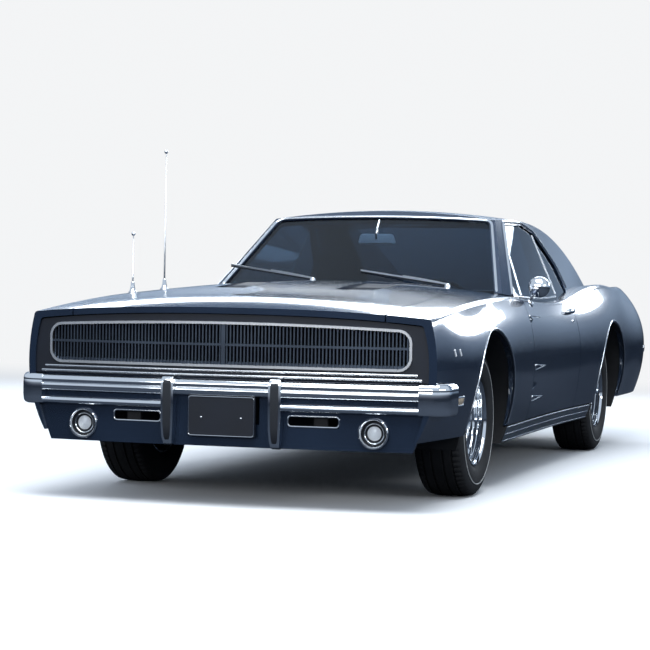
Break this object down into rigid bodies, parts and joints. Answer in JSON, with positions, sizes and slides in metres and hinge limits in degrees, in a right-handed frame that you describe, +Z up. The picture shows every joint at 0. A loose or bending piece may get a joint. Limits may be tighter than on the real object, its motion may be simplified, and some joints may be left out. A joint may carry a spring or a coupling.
{
  "type": "muscle car",
  "caption": "Long low two-door fastback coupe with full-width barred grille, sail panels, opening doors, bonnet and boot lid, steered front wheels and free-rolling wheels.",
  "frame": {"origin": "on the ground under the middle of the car's overall length and width", "axes": "+X towards the car's left side, the driver's; +Y towards the tail, so the car faces -Y; +Z up"},
  "size_m": [1.9574, 5.283, 1.59],
  "materials": {
    "body_paint": "gloss",
    "chrome": "polished",
    "glass": "gloss",
    "tyre": "matte",
    "black_metal": "satin",
    "steel": "satin",
    "iron": "matte",
    "vinyl": "matte",
    "lens_red": "gloss",
    "lens_amber": "gloss"
  },
  "bodies": {
    "body": {"aerials": "chrome", "backlight": "glass", "cowl_panel": "body_paint", "dashboard": "vinyl", "driveline": "iron", "engine": "iron", "exhaust": "steel", "front_bumper": "chrome", "front_fender_left": "body_paint", "front_fender_right": "body_paint", "front_lamps": "lens_amber", "front_seats": "vinyl", "front_suspension": "black_metal", "front_valance": "body_paint", "fuel_tank": "steel", "grille": "black_metal", "grille_back": "black_metal", "grille_ring": "chrome", "leaf_springs": "steel", "nose_frame": "body_paint", "quarter_glass_left": "glass", "quarter_glass_right": "glass", "quarter_panel_left": "body_paint", "quarter_panel_right": "body_paint", "radiator": "black_metal", "rear_axle": "iron", "rear_bumper": "chrome", "rear_deck": "body_paint", "rear_seat": "vinyl", "roof": "body_paint", "side_markers": "lens_amber", "tail_lamps": "lens_red", "tail_panel": "body_paint", "underbody": "black_metal", "windshield": "glass", "wipers": "chrome"},
    "door_left": {"door_left": "body_paint", "door_glass_left": "glass", "door_mirror": "chrome"},
    "door_right": {"door_right": "body_paint", "door_glass_right": "glass"},
    "hood": {"hood": "body_paint"},
    "trunk_lid": {"trunk_lid": "body_paint"},
    "steering_wheel": {"steering_wheel": "vinyl"},
    "knuckle_left": {"knuckle_left": "iron"},
    "knuckle_right": {"knuckle_right": "iron"},
    "wheel_fl": {"wheel_front_left": "chrome", "tyre_front_left": "tyre"},
    "wheel_fr": {"wheel_front_right": "chrome", "tyre_front_right": "tyre"},
    "wheel_rl": {"wheel_rear_left": "chrome", "tyre_rear_left": "tyre"},
    "wheel_rr": {"wheel_rear_right": "chrome", "tyre_rear_right": "tyre"}
  },
  "joints": [
    {"name": "door_left_hinge", "type": "hinge", "parent": "body", "child": "door_left", "pos_m": [0.943, -0.763, 0.6], "axis": [0, 0, -1], "range_deg": [0, 65]},
    {"name": "door_right_hinge", "type": "hinge", "parent": "body", "child": "door_right", "pos_m": [-0.943, -0.763, 0.6], "axis": [0, 0, 1], "range_deg": [0, 65]},
    {"name": "hood_hinge", "type": "hinge", "parent": "body", "child": "hood", "pos_m": [0, -0.96, 0.961], "axis": [-1, 0, 0], "range_deg": [0, 50]},
    {"name": "trunk_hinge", "type": "hinge", "parent": "body", "child": "trunk_lid", "pos_m": [0, 1.587, 0.93], "axis": [1, 0, 0], "range_deg": [0, 70]},
    {"name": "steer_left", "type": "hinge", "parent": "body", "child": "knuckle_left", "pos_m": [0.69, -1.6315, 0.36], "axis": [0, 0, 1], "range_deg": [-30, 30]},
    {"name": "steer_right", "type": "hinge", "parent": "body", "child": "knuckle_right", "pos_m": [-0.69, -1.6315, 0.36], "axis": [0, 0, 1], "range_deg": [-30, 30]},
    {"name": "wheel_fl_spin", "type": "hinge", "parent": "knuckle_left", "child": "wheel_fl", "pos_m": [0.758, -1.6315, 0.338], "axis": [1, 0, 0], "continuous": true},
    {"name": "wheel_fr_spin", "type": "hinge", "parent": "knuckle_right", "child": "wheel_fr", "pos_m": [-0.758, -1.6315, 0.338], "axis": [1, 0, 0], "continuous": true},
    {"name": "wheel_rl_spin", "type": "hinge", "parent": "body", "child": "wheel_rl", "pos_m": [0.758, 1.3405, 0.338], "axis": [1, 0, 0], "continuous": true},
    {"name": "wheel_rr_spin", "type": "hinge", "parent": "body", "child": "wheel_rr", "pos_m": [-0.758, 1.3405, 0.338], "axis": [1, 0, 0], "continuous": true},
    {"name": "steering_wheel_turn", "type": "hinge", "parent": "body", "child": "steering_wheel", "pos_m": [0.365, -0.414, 0.79], "axis": [0, 0.929, 0.37], "range_deg": [-480, 480]}
  ],
  "couplings": [
    {"joint": "steer_right", "follows": "steer_left", "ratio": 1},
    {"joint": "steering_wheel_turn", "follows": "steer_left", "ratio": 16}
  ]
}
